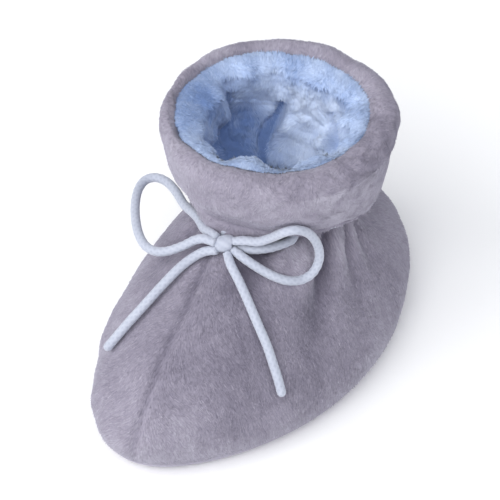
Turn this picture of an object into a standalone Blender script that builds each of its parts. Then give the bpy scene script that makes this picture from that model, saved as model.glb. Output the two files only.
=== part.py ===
"""Plush bootie slipper for a baby, one shoe that fits either foot.

Metres, +Z up. The toe points along -Y, the heel along +Y, and the origin is on the floor under the
middle of the shoe without its bow. Angles round the shoe start at the toe and run by way of the
wearer's left side (+X).
"""

import math

import bmesh
import bpy
import numpy as np
from mathutils import Vector

# Driving sizes, measured from the middle of the ankle.
SOLE_FRONT = 0.0770
SOLE_BACK = 0.0431
SOLE_HALF_WIDTH = 0.0312
SQUARENESS = 0.91
TOE_TAPER = 0.08
MID_FULLNESS = 0.14
ANKLE_HEIGHT = 0.0402
RIM_HEIGHT = 0.0719

# How far the sole lies sideways of the ankle, and how far its toe and heel swing from there.
SOLE_SHIFT = 0.0014
TOE_SWING = -0.0068
HEEL_SWING = 0.0010

# The toe end of the sole lifts off the floor from this far forward of the ankle.
SPRING_START = 0.056
TOE_SPRING = 0.0012

# Materials' real thickness, and the gap between two pieces that touch.
UPPER_WALL = 0.0034
CUFF_WALL = 0.0026
HEM_WALL = 0.0022
SOLE_THICKNESS = 0.0034
INSOLE_THICKNESS = 0.0026
GAP = 0.0003
CORD_DIAMETER = 0.0026

# How the body wall runs from the sole seam to the ankle in three directions. "out" and "rise" steer
# it off the seam, "over" and "drop" steer it into the ankle.
BODY_WALL = {
    "toe": {"out": 0.0102, "rise": 0.0111, "over": 0.0226, "drop": 0.0018},
    "side": {"out": 0.0060, "rise": 0.0110, "over": 0.0022, "drop": 0.0092},
    "heel": {"out": 0.0077, "rise": 0.0140, "over": 0.0054, "drop": 0.0056},
}

# Level rings above the body. Half widths are across (x) and along (y), "back" moves a ring towards
# the heel, and "lift" raises its toe side and lowers its heel side.
RINGS = {
    "ankle": {"x": 0.0205, "y": 0.0184, "back": 0.0003, "z": ANKLE_HEIGHT, "lift": 0.0049},
    "casing": {"x": 0.0207, "y": 0.0186, "back": 0.0003, "z": 0.0439, "lift": 0.0051},
    "hem": {"x": 0.0272, "y": 0.0242, "back": 0.0003, "z": 0.0434, "lift": 0.0062},
    "turn": {"x": 0.0286, "y": 0.0276, "back": 0.0002, "z": 0.0484, "lift": 0.0048},
    "belly": {"x": 0.0299, "y": 0.0314, "back": 0.0000, "z": 0.0552, "lift": 0.0034},
    "brow": {"x": 0.0311, "y": 0.0325, "back": -0.0003, "z": 0.0620, "lift": 0.0021},
    "crown": {"x": 0.0319, "y": 0.0329, "back": -0.0005, "z": 0.0674, "lift": 0.0012},
}

# The rounded rim, as a share of its width inwards from the crown and a height under the rim.
RIM_WIDTH = 0.0057
RIM_STEPS = [(0.14, 0.0013), (0.38, 0.0002), (0.62, 0.0001), (0.86, 0.0010), (1.0, 0.0026)]
RIM_DEPTH = 0.0046

# The cord leaves the groove under the cuff this many of the 48 steps round from the toe.
GROOVE_EXIT = 5
GROOVE_DROP = 0.0012

# The bow. Its knot is a squat ball, and its cord is squeezed thinner where it goes into the knot.
KNOT = (-0.0026, -0.0121, 0.0457)
KNOT_HALF_SIZES = (0.0021, 0.0020, 0.0019)
SQUEEZE = 0.55
CORD_SPACING = 0.0039
LEAD_LEFT = [(-0.0038, -0.0096, 0.0463), (-0.0068, -0.0054, 0.0471), (-0.0103, -0.0019, 0.0469)]
LEAD_RIGHT = [
    (0.0122, -0.0016, 0.0449),
    (0.0096, -0.0052, 0.0444),
    (0.0073, -0.0076, 0.0444),
    (0.0039, -0.0098, 0.0445),
    (-0.0011, -0.0098, 0.0443),
]
LOOP_LEFT = [
    (-0.0049, -0.0122, 0.0473),
    (-0.0077, -0.0108, 0.0463),
    (-0.0108, -0.0087, 0.0448),
    (-0.0153, -0.0043, 0.0433),
    (-0.0218, 0.0005, 0.0408),
    (-0.0270, 0.0050, 0.0399),
    (-0.0316, 0.0080, 0.0390),
    (-0.0356, 0.0090, 0.0380),
    (-0.0381, 0.0075, 0.0371),
    (-0.0383, 0.0041, 0.0365),
    (-0.0365, -0.0009, 0.0364),
    (-0.0332, -0.0067, 0.0366),
    (-0.0293, -0.0119, 0.0371),
    (-0.0251, -0.0157, 0.0378),
    (-0.0210, -0.0173, 0.0389),
    (-0.0174, -0.0169, 0.0403),
    (-0.0138, -0.0153, 0.0424),
    (-0.0110, -0.0138, 0.0445),
    (-0.0081, -0.0134, 0.0461),
    (-0.0046, -0.0137, 0.0464),
]
LOOP_RIGHT = [
    (-0.0004, -0.0113, 0.0469),
    (0.0027, -0.0107, 0.0480),
    (0.0064, -0.0100, 0.0487),
    (0.0100, -0.0093, 0.0512),
    (0.0143, -0.0101, 0.0558),
    (0.0174, -0.0087, 0.0568),
    (0.0193, -0.0055, 0.0535),
    (0.0205, -0.0031, 0.0481),
    (0.0209, -0.0025, 0.0427),
    (0.0202, -0.0043, 0.0389),
    (0.0183, -0.0070, 0.0374),
    (0.0155, -0.0104, 0.0386),
    (0.0117, -0.0124, 0.0406),
    (0.0072, -0.0131, 0.0426),
    (0.0035, -0.0132, 0.0442),
    (-0.0001, -0.0122, 0.0447),
]
END_LEFT = [
    (-0.0036, -0.0147, 0.0449),
    (-0.0071, -0.0152, 0.0433),
    (-0.0098, -0.0173, 0.0414),
    (-0.0121, -0.0207, 0.0393),
    (-0.0147, -0.0256, 0.0358),
    (-0.0169, -0.0301, 0.0324),
    (-0.0196, -0.0346, 0.0282),
    (-0.0217, -0.0378, 0.0246),
    (-0.0238, -0.0408, 0.0209),
]
END_RIGHT = [
    (-0.0011, -0.0138, 0.0444),
    (0.0016, -0.0163, 0.0429),
    (0.0055, -0.0189, 0.0408),
    (0.0097, -0.0217, 0.0376),
    (0.0141, -0.0244, 0.0333),
    (0.0175, -0.0262, 0.0293),
    (0.0205, -0.0282, 0.0252),
    (0.0227, -0.0296, 0.0218),
    (0.0249, -0.0312, 0.0178),
]

AROUND = 48
BODY_STEPS = 11
CURVE_STEPS = 12
ANGLES = np.linspace(0.0, 2.0 * math.pi, AROUND, endpoint=False)

COLOURS = {
    "grey_plush": ((0.36, 0.32, 0.37), 0.95),
    "blue_plush": ((0.33, 0.49, 0.80), 0.95),
    "cord": ((0.72, 0.75, 0.82), 0.80),
}


def clear_scene():
    for obj in list(bpy.data.objects):
        bpy.data.objects.remove(obj)


def material(name):
    found = bpy.data.materials.get(name)
    if found:
        return found
    colour, roughness = COLOURS[name]
    made = bpy.data.materials.new(name)
    made.use_nodes = True
    shader = made.node_tree.nodes["Principled BSDF"]
    shader.inputs["Base Color"].default_value = (*colour, 1.0)
    shader.inputs["Roughness"].default_value = roughness
    shader.inputs["Metallic"].default_value = 0.0
    return made


def wall_size(column):
    """A column of BODY_WALL at every angle: toe, side and heel blended by the cosine squared."""
    lean = np.cos(ANGLES)
    end = np.where(lean > 0, BODY_WALL["toe"][column], BODY_WALL["heel"][column])
    side = BODY_WALL["side"][column]
    return side + (end - side) * lean**2


def outline_normals(outline):
    """Level unit vectors that point out of a ring of points."""
    along = np.roll(outline, -1, axis=0) - np.roll(outline, 1, axis=0)
    across = np.stack([along[:, 1], -along[:, 0]], axis=1)
    return across / np.linalg.norm(across, axis=1, keepdims=True)


def squared(wave):
    """Makes a sine or cosine fuller, which turns an ellipse into a blunter oval."""
    return np.sign(wave) * np.abs(wave) ** SQUARENESS


def seam_outline(inset=0.0):
    """The sole's true outline, where the upper is sewn to it, moved in by inset."""
    lean = np.cos(ANGLES)
    width = SOLE_HALF_WIDTH * (1.0 - TOE_TAPER * lean - MID_FULLNESS * np.cos(2.0 * ANGLES))
    middle = (SOLE_BACK - SOLE_FRONT) / 2.0
    half_length = (SOLE_BACK + SOLE_FRONT) / 2.0
    across = SOLE_SHIFT + width * squared(np.sin(ANGLES))
    outline = np.stack([across, middle - half_length * squared(lean)], axis=1)
    return outline - outline_normals(outline) * inset


def at_height(outline, z):
    return np.column_stack([outline, np.full(len(outline), z)])


def level_ring(half_x, half_y, back, z, lift):
    lean = np.cos(ANGLES)
    return np.column_stack([half_x * np.sin(ANGLES), back - half_y * lean, z + lift * lean])


def ring(name, inset=0.0):
    """A ring of RINGS, moved in by inset."""
    size = RINGS[name]
    return level_ring(size["x"] - inset, size["y"] - inset, size["back"], size["z"], size["lift"])


def body_rings():
    """The outside of the body wall, from the sole seam up to the ankle."""
    seam = seam_outline()
    start = at_height(seam, SOLE_THICKNESS + GAP)
    end = ring("ankle")
    outward = outline_normals(seam)
    away = seam - end[:, :2]
    away = away / np.linalg.norm(away, axis=1, keepdims=True)
    first = start + np.column_stack([outward * wall_size("out")[:, None], wall_size("rise")])
    last = end + np.column_stack([away * wall_size("over")[:, None], -wall_size("drop")])
    rings = []
    for step in range(BODY_STEPS + 1):
        t = step / BODY_STEPS
        rings.append(
            (1 - t) ** 3 * start
            + 3 * t * (1 - t) ** 2 * first
            + 3 * t**2 * (1 - t) * last
            + t**3 * end
        )
    return rings


def shaft_rings():
    """The outside of the wall above the ankle: the cord's casing, then the wall inside the cuff."""
    under_cuff = CUFF_WALL + GAP
    rings = [ring("casing")]
    rings += [ring(name, under_cuff) for name in ("turn", "belly", "brow")]
    top = ring("crown", under_cuff)
    top[:, 2] = RIM_HEIGHT - RIM_DEPTH - GAP
    return rings + [top]


def wall_normals(rings):
    """Unit vectors out of a stack of rings. The first and last rings get level ones."""
    stack = np.array(rings)
    up = np.gradient(stack, axis=0)
    along = np.roll(stack, -1, axis=1) - np.roll(stack, 1, axis=1)
    normals = np.cross(along, up)
    normals[0, :, 2] = 0.0
    normals[-1, :, 2] = 0.0
    return normals / np.linalg.norm(normals, axis=2, keepdims=True)


def lasted(points):
    """Gives the straight form its sideways swing and its toe spring."""
    along = points[..., 1]
    to_toe = np.clip(-along, 0.0, None)
    to_heel = np.clip(along, 0.0, None)
    sprung = np.clip(to_toe - SPRING_START, 0.0, None) / (SOLE_FRONT - SPRING_START)
    shaped = points.copy()
    shaped[..., 0] += TOE_SWING * (to_toe / SOLE_FRONT) ** 2
    shaped[..., 0] += HEEL_SWING * (to_heel / SOLE_BACK) ** 2
    shaped[..., 2] += TOE_SPRING * sprung**2
    return shaped


def placed(points):
    """A piece's points in the part's frame, whose origin is under the middle of the body."""
    body = lasted(np.array(body_rings()))[..., :2].reshape(-1, 2)
    middle = (body.min(axis=0) + body.max(axis=0)) / 2.0
    return lasted(points) - np.array([*middle, 0.0])


def add_object(name, data, material_name):
    data.materials.append(material(material_name))
    obj = bpy.data.objects.new(name, data)
    bpy.context.scene.collection.objects.link(obj)
    return obj


def mesh_object(name, bm, material_name, crease_degrees=50.0):
    bmesh.ops.recalc_face_normals(bm, faces=bm.faces[:])
    mesh = bpy.data.meshes.new(name)
    bm.to_mesh(mesh)
    bm.free()
    mesh.shade_smooth()
    mesh.set_sharp_from_angle(angle=math.radians(crease_degrees))
    return add_object(name, mesh, material_name)


def skin_rings(bm, rings, closed):
    """Joins each ring to the next with four-sided faces, and the last to the first if closed."""
    loops = [[bm.verts.new(Vector(point)) for point in points] for points in rings]
    pairs = list(zip(loops, loops[1:]))
    if closed:
        pairs.append((loops[-1], loops[0]))
    for low, high in pairs:
        for i in range(AROUND):
            j = (i + 1) % AROUND
            bm.faces.new((low[i], low[j], high[j], high[i]))
    return loops


def tube_wall(name, rings, material_name):
    """A hollow wall whose section is a closed run of rings, open at both ends."""
    bm = bmesh.new()
    skin_rings(bm, placed(np.array(rings)), closed=True)
    return mesh_object(name, bm, material_name)


def pad(name, rings, material_name):
    """A flat pad: rings from the middle of its top, round its edge, to the middle of its underside."""
    bm = bmesh.new()
    loops = skin_rings(bm, placed(np.array(rings)), closed=False)
    bm.faces.new(loops[0])
    bm.faces.new(loops[-1])
    return mesh_object(name, bm, material_name, crease_degrees=40.0)


def build_upper():
    outside = body_rings() + shaft_rings()
    inside = np.array(outside) - wall_normals(outside) * UPPER_WALL
    return tube_wall("upper", outside + list(inside[::-1]), "grey_plush")


def rim_rings():
    """The rounded rim of the cuff, from the crown over the top to its inner edge."""
    rings = []
    for share, under in RIM_STEPS:
        points = ring("crown", RIM_WIDTH * share)
        points[:, 2] += RIM_HEIGHT - under - RINGS["crown"]["z"]
        rings.append(points)
    return rings


def build_cuff():
    outside = [ring(name) for name in ("hem", "turn", "belly", "brow", "crown")]
    inner_edge = ring("crown", RIM_WIDTH)
    inner_edge[:, 2] = RIM_HEIGHT - RIM_DEPTH
    corner = ring("crown", CUFF_WALL)
    corner[:, 2] = RIM_HEIGHT - RIM_DEPTH
    inside = [ring(name, CUFF_WALL) for name in ("brow", "belly", "turn")]
    hem = ring("hem", HEM_WALL)
    return tube_wall("cuff", outside + rim_rings() + [inner_edge, corner] + inside + [hem], "grey_plush")


def build_outsole():
    """The padded sole: flat underneath, with an edge that rounds in below the upper's overhang."""
    edge = [(0.0005, SOLE_THICKNESS), (0.0009, 0.0022), (0.0022, 0.0009), (0.0044, 0.0)]
    shares = (0.45, 0.72)
    outline = seam_outline()
    top = [at_height(outline * share, SOLE_THICKNESS) for share in shares]
    side = [at_height(seam_outline(inset), z) for inset, z in edge]
    under = [at_height(outline * share, 0.0) for share in reversed(shares)]
    return pad("outsole", top + side + under, "grey_plush")


def build_insole():
    """The plush footbed that lies on the sole inside the upper."""
    low = SOLE_THICKNESS + GAP
    high = low + INSOLE_THICKNESS
    inset = UPPER_WALL + GAP
    shares = (0.45, 0.72)
    outline = seam_outline()
    top = [at_height(outline * share, high) for share in shares]
    top.append(at_height(seam_outline(inset + 0.0012), high))
    side = [at_height(seam_outline(inset), high - 0.0010), at_height(seam_outline(inset), low)]
    under = [at_height(outline * share, low) for share in reversed(shares)]
    return pad("insole", top + side + under, "blue_plush")


def smooth_route(points):
    """Evenly spaced points along a smooth curve through a route's own points."""
    route = np.array(points)
    padded = np.vstack([2 * route[0] - route[1], route, 2 * route[-1] - route[-2]])
    curve = []
    for before, start, end, after in zip(padded, padded[1:], padded[2:], padded[3:]):
        for t in np.linspace(0.0, 1.0, CURVE_STEPS, endpoint=False):
            bend = 2 * before - 5 * start + 4 * end - after
            swing = 3 * start - before - 3 * end + after
            curve.append((2 * start + (end - before) * t + bend * t**2 + swing * t**3) / 2)
    curve = np.array(curve + [route[-1]])
    run = np.concatenate([[0.0], np.cumsum(np.linalg.norm(np.diff(curve, axis=0), axis=1))])
    stops = np.linspace(0.0, run[-1], round(run[-1] / CORD_SPACING) + 1)
    return np.column_stack([np.interp(stops, run, curve[:, axis]) for axis in range(3)])


def build_cord(name, route, knotted_ends):
    """A tube of the cord along a route, squeezed at each end that goes into the knot."""
    points = smooth_route(route)
    curve = bpy.data.curves.new(name, "CURVE")
    curve.dimensions = "3D"
    curve.bevel_depth = CORD_DIAMETER / 2
    curve.bevel_resolution = 2
    curve.use_fill_caps = True
    spline = curve.splines.new("POLY")
    spline.points.add(len(points) - 1)
    for spline_point, point in zip(spline.points, points):
        spline_point.co = (*point, 1.0)
    for end in knotted_ends:
        spline.points[end].radius = SQUEEZE
    add_object(name, curve, "cord")


def build_drawstring():
    """The cord round the ankle in the groove under the cuff, with its two leads to the knot."""
    groove = ring("casing", -(CORD_DIAMETER / 2 + GAP))
    groove[:, 2] -= GROOVE_DROP
    round_heel = placed(groove)[GROOVE_EXIT : AROUND - GROOVE_EXIT + 1]
    route = LEAD_LEFT + list(round_heel[::-1]) + LEAD_RIGHT
    build_cord("drawstring", route, knotted_ends=(0, -1))


def build_knot():
    bm = bmesh.new()
    bmesh.ops.create_uvsphere(bm, u_segments=12, v_segments=8, radius=1.0)
    bmesh.ops.scale(bm, vec=KNOT_HALF_SIZES, verts=bm.verts[:])
    bmesh.ops.translate(bm, vec=KNOT, verts=bm.verts[:])
    mesh_object("knot", bm, "cord")


def build_bow():
    build_knot()
    build_cord("loop_left", LOOP_LEFT, knotted_ends=(0, -1))
    build_cord("loop_right", LOOP_RIGHT, knotted_ends=(0, -1))
    build_cord("end_left", END_LEFT, knotted_ends=(0,))
    build_cord("end_right", END_RIGHT, knotted_ends=(0,))


def main():
    clear_scene()
    build_outsole()
    build_insole()
    build_upper()
    build_cuff()
    build_drawstring()
    build_bow()


main()
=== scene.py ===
"""Looks of the plush bootie slipper: plush skins with their nap, a fluffy lining, and a braided cord bow.

Metres, +Z up, in the part's frame: the toe points along -Y, the origin is on the floor under the
middle of the shoe. Forms are first worked out from the middle of the ankle, as the maker's pattern
would be, and placed() moves them into the part's frame. Angles round the shoe start at the toe and
run by way of the wearer's left side (+X).
"""

import math

import bpy
import numpy as np
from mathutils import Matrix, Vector


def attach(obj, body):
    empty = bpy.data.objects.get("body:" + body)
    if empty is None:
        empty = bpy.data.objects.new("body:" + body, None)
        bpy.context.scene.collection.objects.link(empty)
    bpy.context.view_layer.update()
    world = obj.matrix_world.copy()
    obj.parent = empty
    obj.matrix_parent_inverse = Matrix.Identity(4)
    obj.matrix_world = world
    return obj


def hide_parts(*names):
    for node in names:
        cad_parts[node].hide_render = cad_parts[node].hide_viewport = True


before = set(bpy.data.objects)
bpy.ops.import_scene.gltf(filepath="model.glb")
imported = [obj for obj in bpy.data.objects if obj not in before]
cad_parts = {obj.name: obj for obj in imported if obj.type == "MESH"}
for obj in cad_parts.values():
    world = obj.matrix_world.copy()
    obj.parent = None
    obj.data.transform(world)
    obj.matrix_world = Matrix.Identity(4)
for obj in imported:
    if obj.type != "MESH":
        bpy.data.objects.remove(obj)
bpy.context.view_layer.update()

MM = 0.001
BODY = "root"

# Driving sizes of the shoe, as in the frame, in metres from the middle of the ankle.
SOLE_FRONT = 0.0770
SOLE_BACK = 0.0431
SOLE_HALF_WIDTH = 0.0312
SQUARENESS = 0.91
TOE_TAPER = 0.08
MID_FULLNESS = 0.14
RIM_HEIGHT = 0.0719
SOLE_SHIFT = 0.0014
TOE_SWING = -0.0068
HEEL_SWING = 0.0010
SPRING_START = 0.056
TOE_SPRING = 0.0012
UPPER_WALL = 0.0034
CUFF_WALL = 0.0026
SOLE_THICKNESS = 0.0034
INSOLE_THICKNESS = 0.0026
GAP = 0.0003
CORD_DIAMETER = 0.0026

# The body wall's curve at the toe, the sides and the heel: how far it leaves the sole seam outwards and
# upwards, and how far it comes to the ankle from outside and from below.
BODY_WALL = {
    "toe": {"out": 0.0102, "rise": 0.0111, "over": 0.0226, "drop": 0.0018},
    "side": {"out": 0.0060, "rise": 0.0110, "over": 0.0022, "drop": 0.0092},
    "heel": {"out": 0.0077, "rise": 0.0140, "over": 0.0054, "drop": 0.0056},
}

# Rings round the ankle and the cuff: half width, half length, how far back, height, and lift at the toe.
RINGS = {
    "ankle": {"x": 0.0205, "y": 0.0184, "back": 0.0003, "z": 0.0402, "lift": 0.0049},
    "casing": {"x": 0.0207, "y": 0.0186, "back": 0.0003, "z": 0.0439, "lift": 0.0051},
    "hem": {"x": 0.0272, "y": 0.0242, "back": 0.0003, "z": 0.0434, "lift": 0.0062},
    "turn": {"x": 0.0286, "y": 0.0276, "back": 0.0002, "z": 0.0484, "lift": 0.0048},
    "belly": {"x": 0.0299, "y": 0.0314, "back": 0.0000, "z": 0.0552, "lift": 0.0034},
    "brow": {"x": 0.0311, "y": 0.0325, "back": -0.0003, "z": 0.0620, "lift": 0.0021},
    "crown": {"x": 0.0319, "y": 0.0329, "back": -0.0005, "z": 0.0674, "lift": 0.0012},
}

# The rim's section: shares of its width, and how far it is under the rim's top there.
RIM_STEPS = [(0.14, 0.0013), (0.38, 0.0002), (0.62, 0.0001), (0.86, 0.0010), (1.0, 0.0026)]

# The middle of the part's floor outline, from the middle of the ankle.
PART_MIDDLE = (0.00113115, -0.01702384)

# The camera of the photograph, in the part's frame.
CAMERA_PLACE = (0.28757, -0.54762, 0.63861)
CAMERA_TARGET = (-0.0128, 0.0217, 0.0094)
CAMERA_LENS = 229.0

# How far the plush skins lie under the outline that the tips of their nap reach, how thick they are,
# and how many rows their hidden side has.
NAP_DEPTH = 0.0007
SKIN_THICKNESS = 0.0005
CUFF_SKIN_THICKNESS = 0.0010
LINING_SKIN_THICKNESS = 0.0008
HIDDEN_ROWS = 30

# Naps: each spike's length, width and ridge height in metres, how steeply it stands as the sine of
# its angle, and how far its direction and its tone stray.
BODY_NAP = {"length": 0.0015, "width": 0.00044, "ridge": 0.0001, "stand": 0.14, "stray": 0.12, "tone": 0.075}
CUFF_NAP = {"length": 0.0011, "width": 0.00042, "ridge": 0.00009, "stand": 0.13, "stray": 0.18, "tone": 0.07}
LINING_NAP = {"length": 0.0015, "width": 0.00046, "ridge": 0.0001, "stand": 0.16, "stray": 0.15, "tone": 0.05}
BORDER_NAP = {"length": 0.0017, "width": 0.00046, "ridge": 0.0001, "stand": 0.24, "stray": 0.35, "tone": 0.05}

# A spike's faces, by its corners: two at the root, one on its ridge and its tip. Then how deep the root is.
SPIKE_FACES = [[0, 2, 3], [1, 3, 2], [0, 3, 1], [0, 1, 2]]
ROOT_DEPTH = 0.00012

# Plush colours for a dark, a middle and a light tone; the tone holds random tuft tones and the painted light
# and shade. Then how fine the mottling and the fibre grain are, and the tint of the sheen.
GREY_PLUSH = {
    "colours": [(0.182, 0.168, 0.222), (0.320, 0.297, 0.368), (0.49, 0.47, 0.55)],
    "mottle": 55.0,
    "grain": 1500.0,
    "tint": (0.86, 0.86, 1.0),
}
BLUE_PLUSH = {
    "colours": [(0.17, 0.26, 0.50), (0.45, 0.56, 0.80), (0.68, 0.78, 0.97)],
    "mottle": 70.0,
    "grain": 1200.0,
    "tint": (0.86, 0.92, 1.0),
}
PLUSH_SHEEN = 0.35
PLUSH_STOPS = [0.27, 0.64, 1.02]
MOTTLE_SHARE = 0.28
CORD_STOPS = [(0.1, (0.26, 0.28, 0.35)), (0.55, (0.43, 0.46, 0.55)), (1.0, (0.57, 0.60, 0.68))]

# Soft studio lights: name, place, size, power and colour.
LIGHTS = [
    ("key", (-0.60, -0.70, 0.80), 1.0, 6.5, (1.0, 0.99, 0.97)),
    ("front", (0.12, -0.85, 0.85), 0.8, 6.0, (1.0, 1.0, 1.0)),
    ("fill", (0.8, -0.3, 1.1), 1.2, 1.8, (0.97, 0.98, 1.0)),
]

# The bow's routes, in the part's frame.
KNOT = (-0.0026, -0.0121, 0.0457)
LEAD_LEFT = [(-0.0038, -0.0096, 0.0463), (-0.0068, -0.0054, 0.0471), (-0.0103, -0.0019, 0.0469)]
LEAD_RIGHT = [
    (0.0122, -0.0016, 0.0449),
    (0.0096, -0.0052, 0.0444),
    (0.0073, -0.0076, 0.0444),
    (0.0039, -0.0098, 0.0445),
    (-0.0011, -0.0098, 0.0443),
]
LOOP_LEFT = [
    (-0.0049, -0.0122, 0.0473),
    (-0.0077, -0.0108, 0.0463),
    (-0.0108, -0.0087, 0.0448),
    (-0.0153, -0.0043, 0.0433),
    (-0.0218, 0.0005, 0.0408),
    (-0.0270, 0.0050, 0.0399),
    (-0.0316, 0.0080, 0.0390),
    (-0.0356, 0.0090, 0.0380),
    (-0.0381, 0.0075, 0.0371),
    (-0.0383, 0.0041, 0.0365),
    (-0.0365, -0.0009, 0.0364),
    (-0.0332, -0.0067, 0.0366),
    (-0.0293, -0.0119, 0.0371),
    (-0.0251, -0.0157, 0.0378),
    (-0.0210, -0.0173, 0.0389),
    (-0.0174, -0.0169, 0.0403),
    (-0.0138, -0.0153, 0.0424),
    (-0.0110, -0.0138, 0.0445),
    (-0.0081, -0.0134, 0.0461),
    (-0.0046, -0.0137, 0.0464),
]
LOOP_RIGHT = [
    (-0.0004, -0.0113, 0.0469),
    (0.0027, -0.0107, 0.0480),
    (0.0064, -0.0100, 0.0487),
    (0.0100, -0.0093, 0.0512),
    (0.0143, -0.0101, 0.0558),
    (0.0174, -0.0087, 0.0568),
    (0.0193, -0.0055, 0.0535),
    (0.0205, -0.0031, 0.0481),
    (0.0209, -0.0025, 0.0427),
    (0.0202, -0.0043, 0.0389),
    (0.0183, -0.0070, 0.0374),
    (0.0155, -0.0104, 0.0386),
    (0.0117, -0.0124, 0.0406),
    (0.0072, -0.0131, 0.0426),
    (0.0035, -0.0132, 0.0442),
    (-0.0001, -0.0122, 0.0447),
]
END_LEFT = [
    (-0.0036, -0.0147, 0.0449),
    (-0.0071, -0.0152, 0.0433),
    (-0.0098, -0.0173, 0.0414),
    (-0.0121, -0.0207, 0.0393),
    (-0.0147, -0.0256, 0.0358),
    (-0.0169, -0.0301, 0.0324),
    (-0.0196, -0.0346, 0.0282),
    (-0.0217, -0.0378, 0.0246),
    (-0.0238, -0.0408, 0.0209),
]
END_RIGHT = [
    (-0.0011, -0.0138, 0.0444),
    (0.0016, -0.0163, 0.0429),
    (0.0055, -0.0189, 0.0408),
    (0.0097, -0.0217, 0.0376),
    (0.0141, -0.0244, 0.0333),
    (0.0175, -0.0262, 0.0293),
    (0.0205, -0.0282, 0.0252),
    (0.0227, -0.0296, 0.0218),
    (0.0249, -0.0312, 0.0178),
]


# Forms that the frame also has, worked out more finely.

def angles_round(count):
    return np.linspace(0.0, 2.0 * math.pi, count, endpoint=False)


def wall_size(angles, column):
    lean = np.cos(angles)
    end = np.where(lean > 0, BODY_WALL["toe"][column], BODY_WALL["heel"][column])
    side = BODY_WALL["side"][column]
    return side + (end - side) * lean**2


def outline_normals(outline):
    along = np.roll(outline, -1, axis=0) - np.roll(outline, 1, axis=0)
    across = np.stack([along[:, 1], -along[:, 0]], axis=1)
    return across / np.linalg.norm(across, axis=1, keepdims=True)


def squared(wave):
    return np.sign(wave) * np.abs(wave) ** SQUARENESS


def seam_outline(angles, inset=0.0):
    """The sole's outline, moved in by inset."""
    lean = np.cos(angles)
    width = SOLE_HALF_WIDTH * (1.0 - TOE_TAPER * lean - MID_FULLNESS * np.cos(2.0 * angles))
    middle = (SOLE_BACK - SOLE_FRONT) / 2.0
    half_length = (SOLE_BACK + SOLE_FRONT) / 2.0
    across = SOLE_SHIFT + width * squared(np.sin(angles))
    outline = np.stack([across, middle - half_length * squared(lean)], axis=1)
    return outline - outline_normals(outline) * inset


def at_height(outline, z):
    return np.column_stack([outline, np.full(len(outline), z)])


def ring(angles, name, inset=0.0, drop=0.0):
    """A ring of RINGS, moved in by inset and down by drop."""
    size = RINGS[name]
    lean = np.cos(angles)
    across = (size["x"] - inset) * np.sin(angles)
    along = size["back"] - (size["y"] - inset) * lean
    return np.column_stack([across, along, size["z"] - drop + size["lift"] * lean])


def body_rings(angles, steps):
    """The outside of the body wall, from the sole seam up to the ankle."""
    seam = seam_outline(angles)
    start = at_height(seam, SOLE_THICKNESS + GAP)
    end = ring(angles, "ankle")
    away = seam - end[:, :2]
    away = away / np.linalg.norm(away, axis=1, keepdims=True)
    outward = outline_normals(seam) * wall_size(angles, "out")[:, None]
    first = start + np.column_stack([outward, wall_size(angles, "rise")])
    last = end + np.column_stack([away * wall_size(angles, "over")[:, None], -wall_size(angles, "drop")])
    rings = []
    for t in np.linspace(0.0, 1.0, steps + 1):
        low_half = (1 - t) ** 3 * start + 3 * t * (1 - t) ** 2 * first
        rings.append(low_half + 3 * t**2 * (1 - t) * last + t**3 * end)
    return rings


def rim_width(angles):
    """How wide the plump grey rim is round the opening: widest on the wearer's left."""
    to_left = 2.2 * np.cos(angles - math.radians(90.0))
    oval = 0.3 * np.cos(2.0 * angles - math.radians(234.0))
    return (7.2 + to_left - oval) * MM


def rim_ring(angles, inset, under):
    """A ring near the rim, inset from the crown and this far under the rim's top."""
    return ring(angles, "crown", inset, RINGS["crown"]["z"] - RIM_HEIGHT + under)


def rim_rings(angles):
    """The rounded rim of the cuff, from the crown over the top to its inner edge."""
    return [rim_ring(angles, rim_width(angles) * share, under) for share, under in RIM_STEPS]


def lasted(points):
    """Gives the straight form its sideways swing and its toe spring."""
    along = points[..., 1]
    to_toe = np.clip(-along, 0.0, None)
    to_heel = np.clip(along, 0.0, None)
    sprung = np.clip(to_toe - SPRING_START, 0.0, None) / (SOLE_FRONT - SPRING_START)
    shaped = points.copy()
    shaped[..., 0] += TOE_SWING * (to_toe / SOLE_FRONT) ** 2
    shaped[..., 0] += HEEL_SWING * (to_heel / SOLE_BACK) ** 2
    shaped[..., 2] += TOE_SPRING * sprung**2
    return shaped


def placed(points):
    return lasted(points) - np.array([*PART_MIDDLE, 0.0])


def smoothed(stops, steps):
    """A smooth curve through the given points or rings, with this many steps between two of them."""
    padded = np.concatenate([[2 * stops[0] - stops[1]], stops, [2 * stops[-1] - stops[-2]]])
    curve = []
    for before, start, end, after in zip(padded, padded[1:], padded[2:], padded[3:]):
        bend = 2 * before - 5 * start + 4 * end - after
        swing = 3 * start - before - 3 * end + after
        for t in np.linspace(0.0, 1.0, steps, endpoint=False):
            curve.append((2 * start + (end - before) * t + bend * t**2 + swing * t**3) / 2)
    return np.array(curve + [stops[-1]])


# Grids: stacks of rings, row by row upwards and column by column round the shoe.

def smooth_stack(rings, rows):
    """Rings evenly spaced along a smooth surface through the given rings."""
    fine = smoothed(np.array(rings), 8)
    steps = np.linalg.norm(np.diff(fine, axis=0), axis=2).mean(axis=1)
    run = np.concatenate([[0.0], np.cumsum(steps)])
    stops = np.linspace(0.0, run[-1], rows)
    where = np.clip(np.searchsorted(run, stops, side="right") - 1, 0, len(run) - 2)
    share = ((stops - run[where]) / (run[where + 1] - run[where]))[:, None, None]
    return fine[where] * (1 - share) + fine[where + 1] * share


def grid_frame(grid):
    """Unit vectors up the rows, round the columns, and out of the surface, at each point."""
    up = np.gradient(grid, axis=0)
    round_ = np.roll(grid, -1, axis=1) - np.roll(grid, 1, axis=1)
    out = np.cross(round_, up)
    up = up / np.linalg.norm(up, axis=2, keepdims=True)
    out = out / np.linalg.norm(out, axis=2, keepdims=True)
    side = np.cross(up, out)
    return up, side, out


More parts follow.
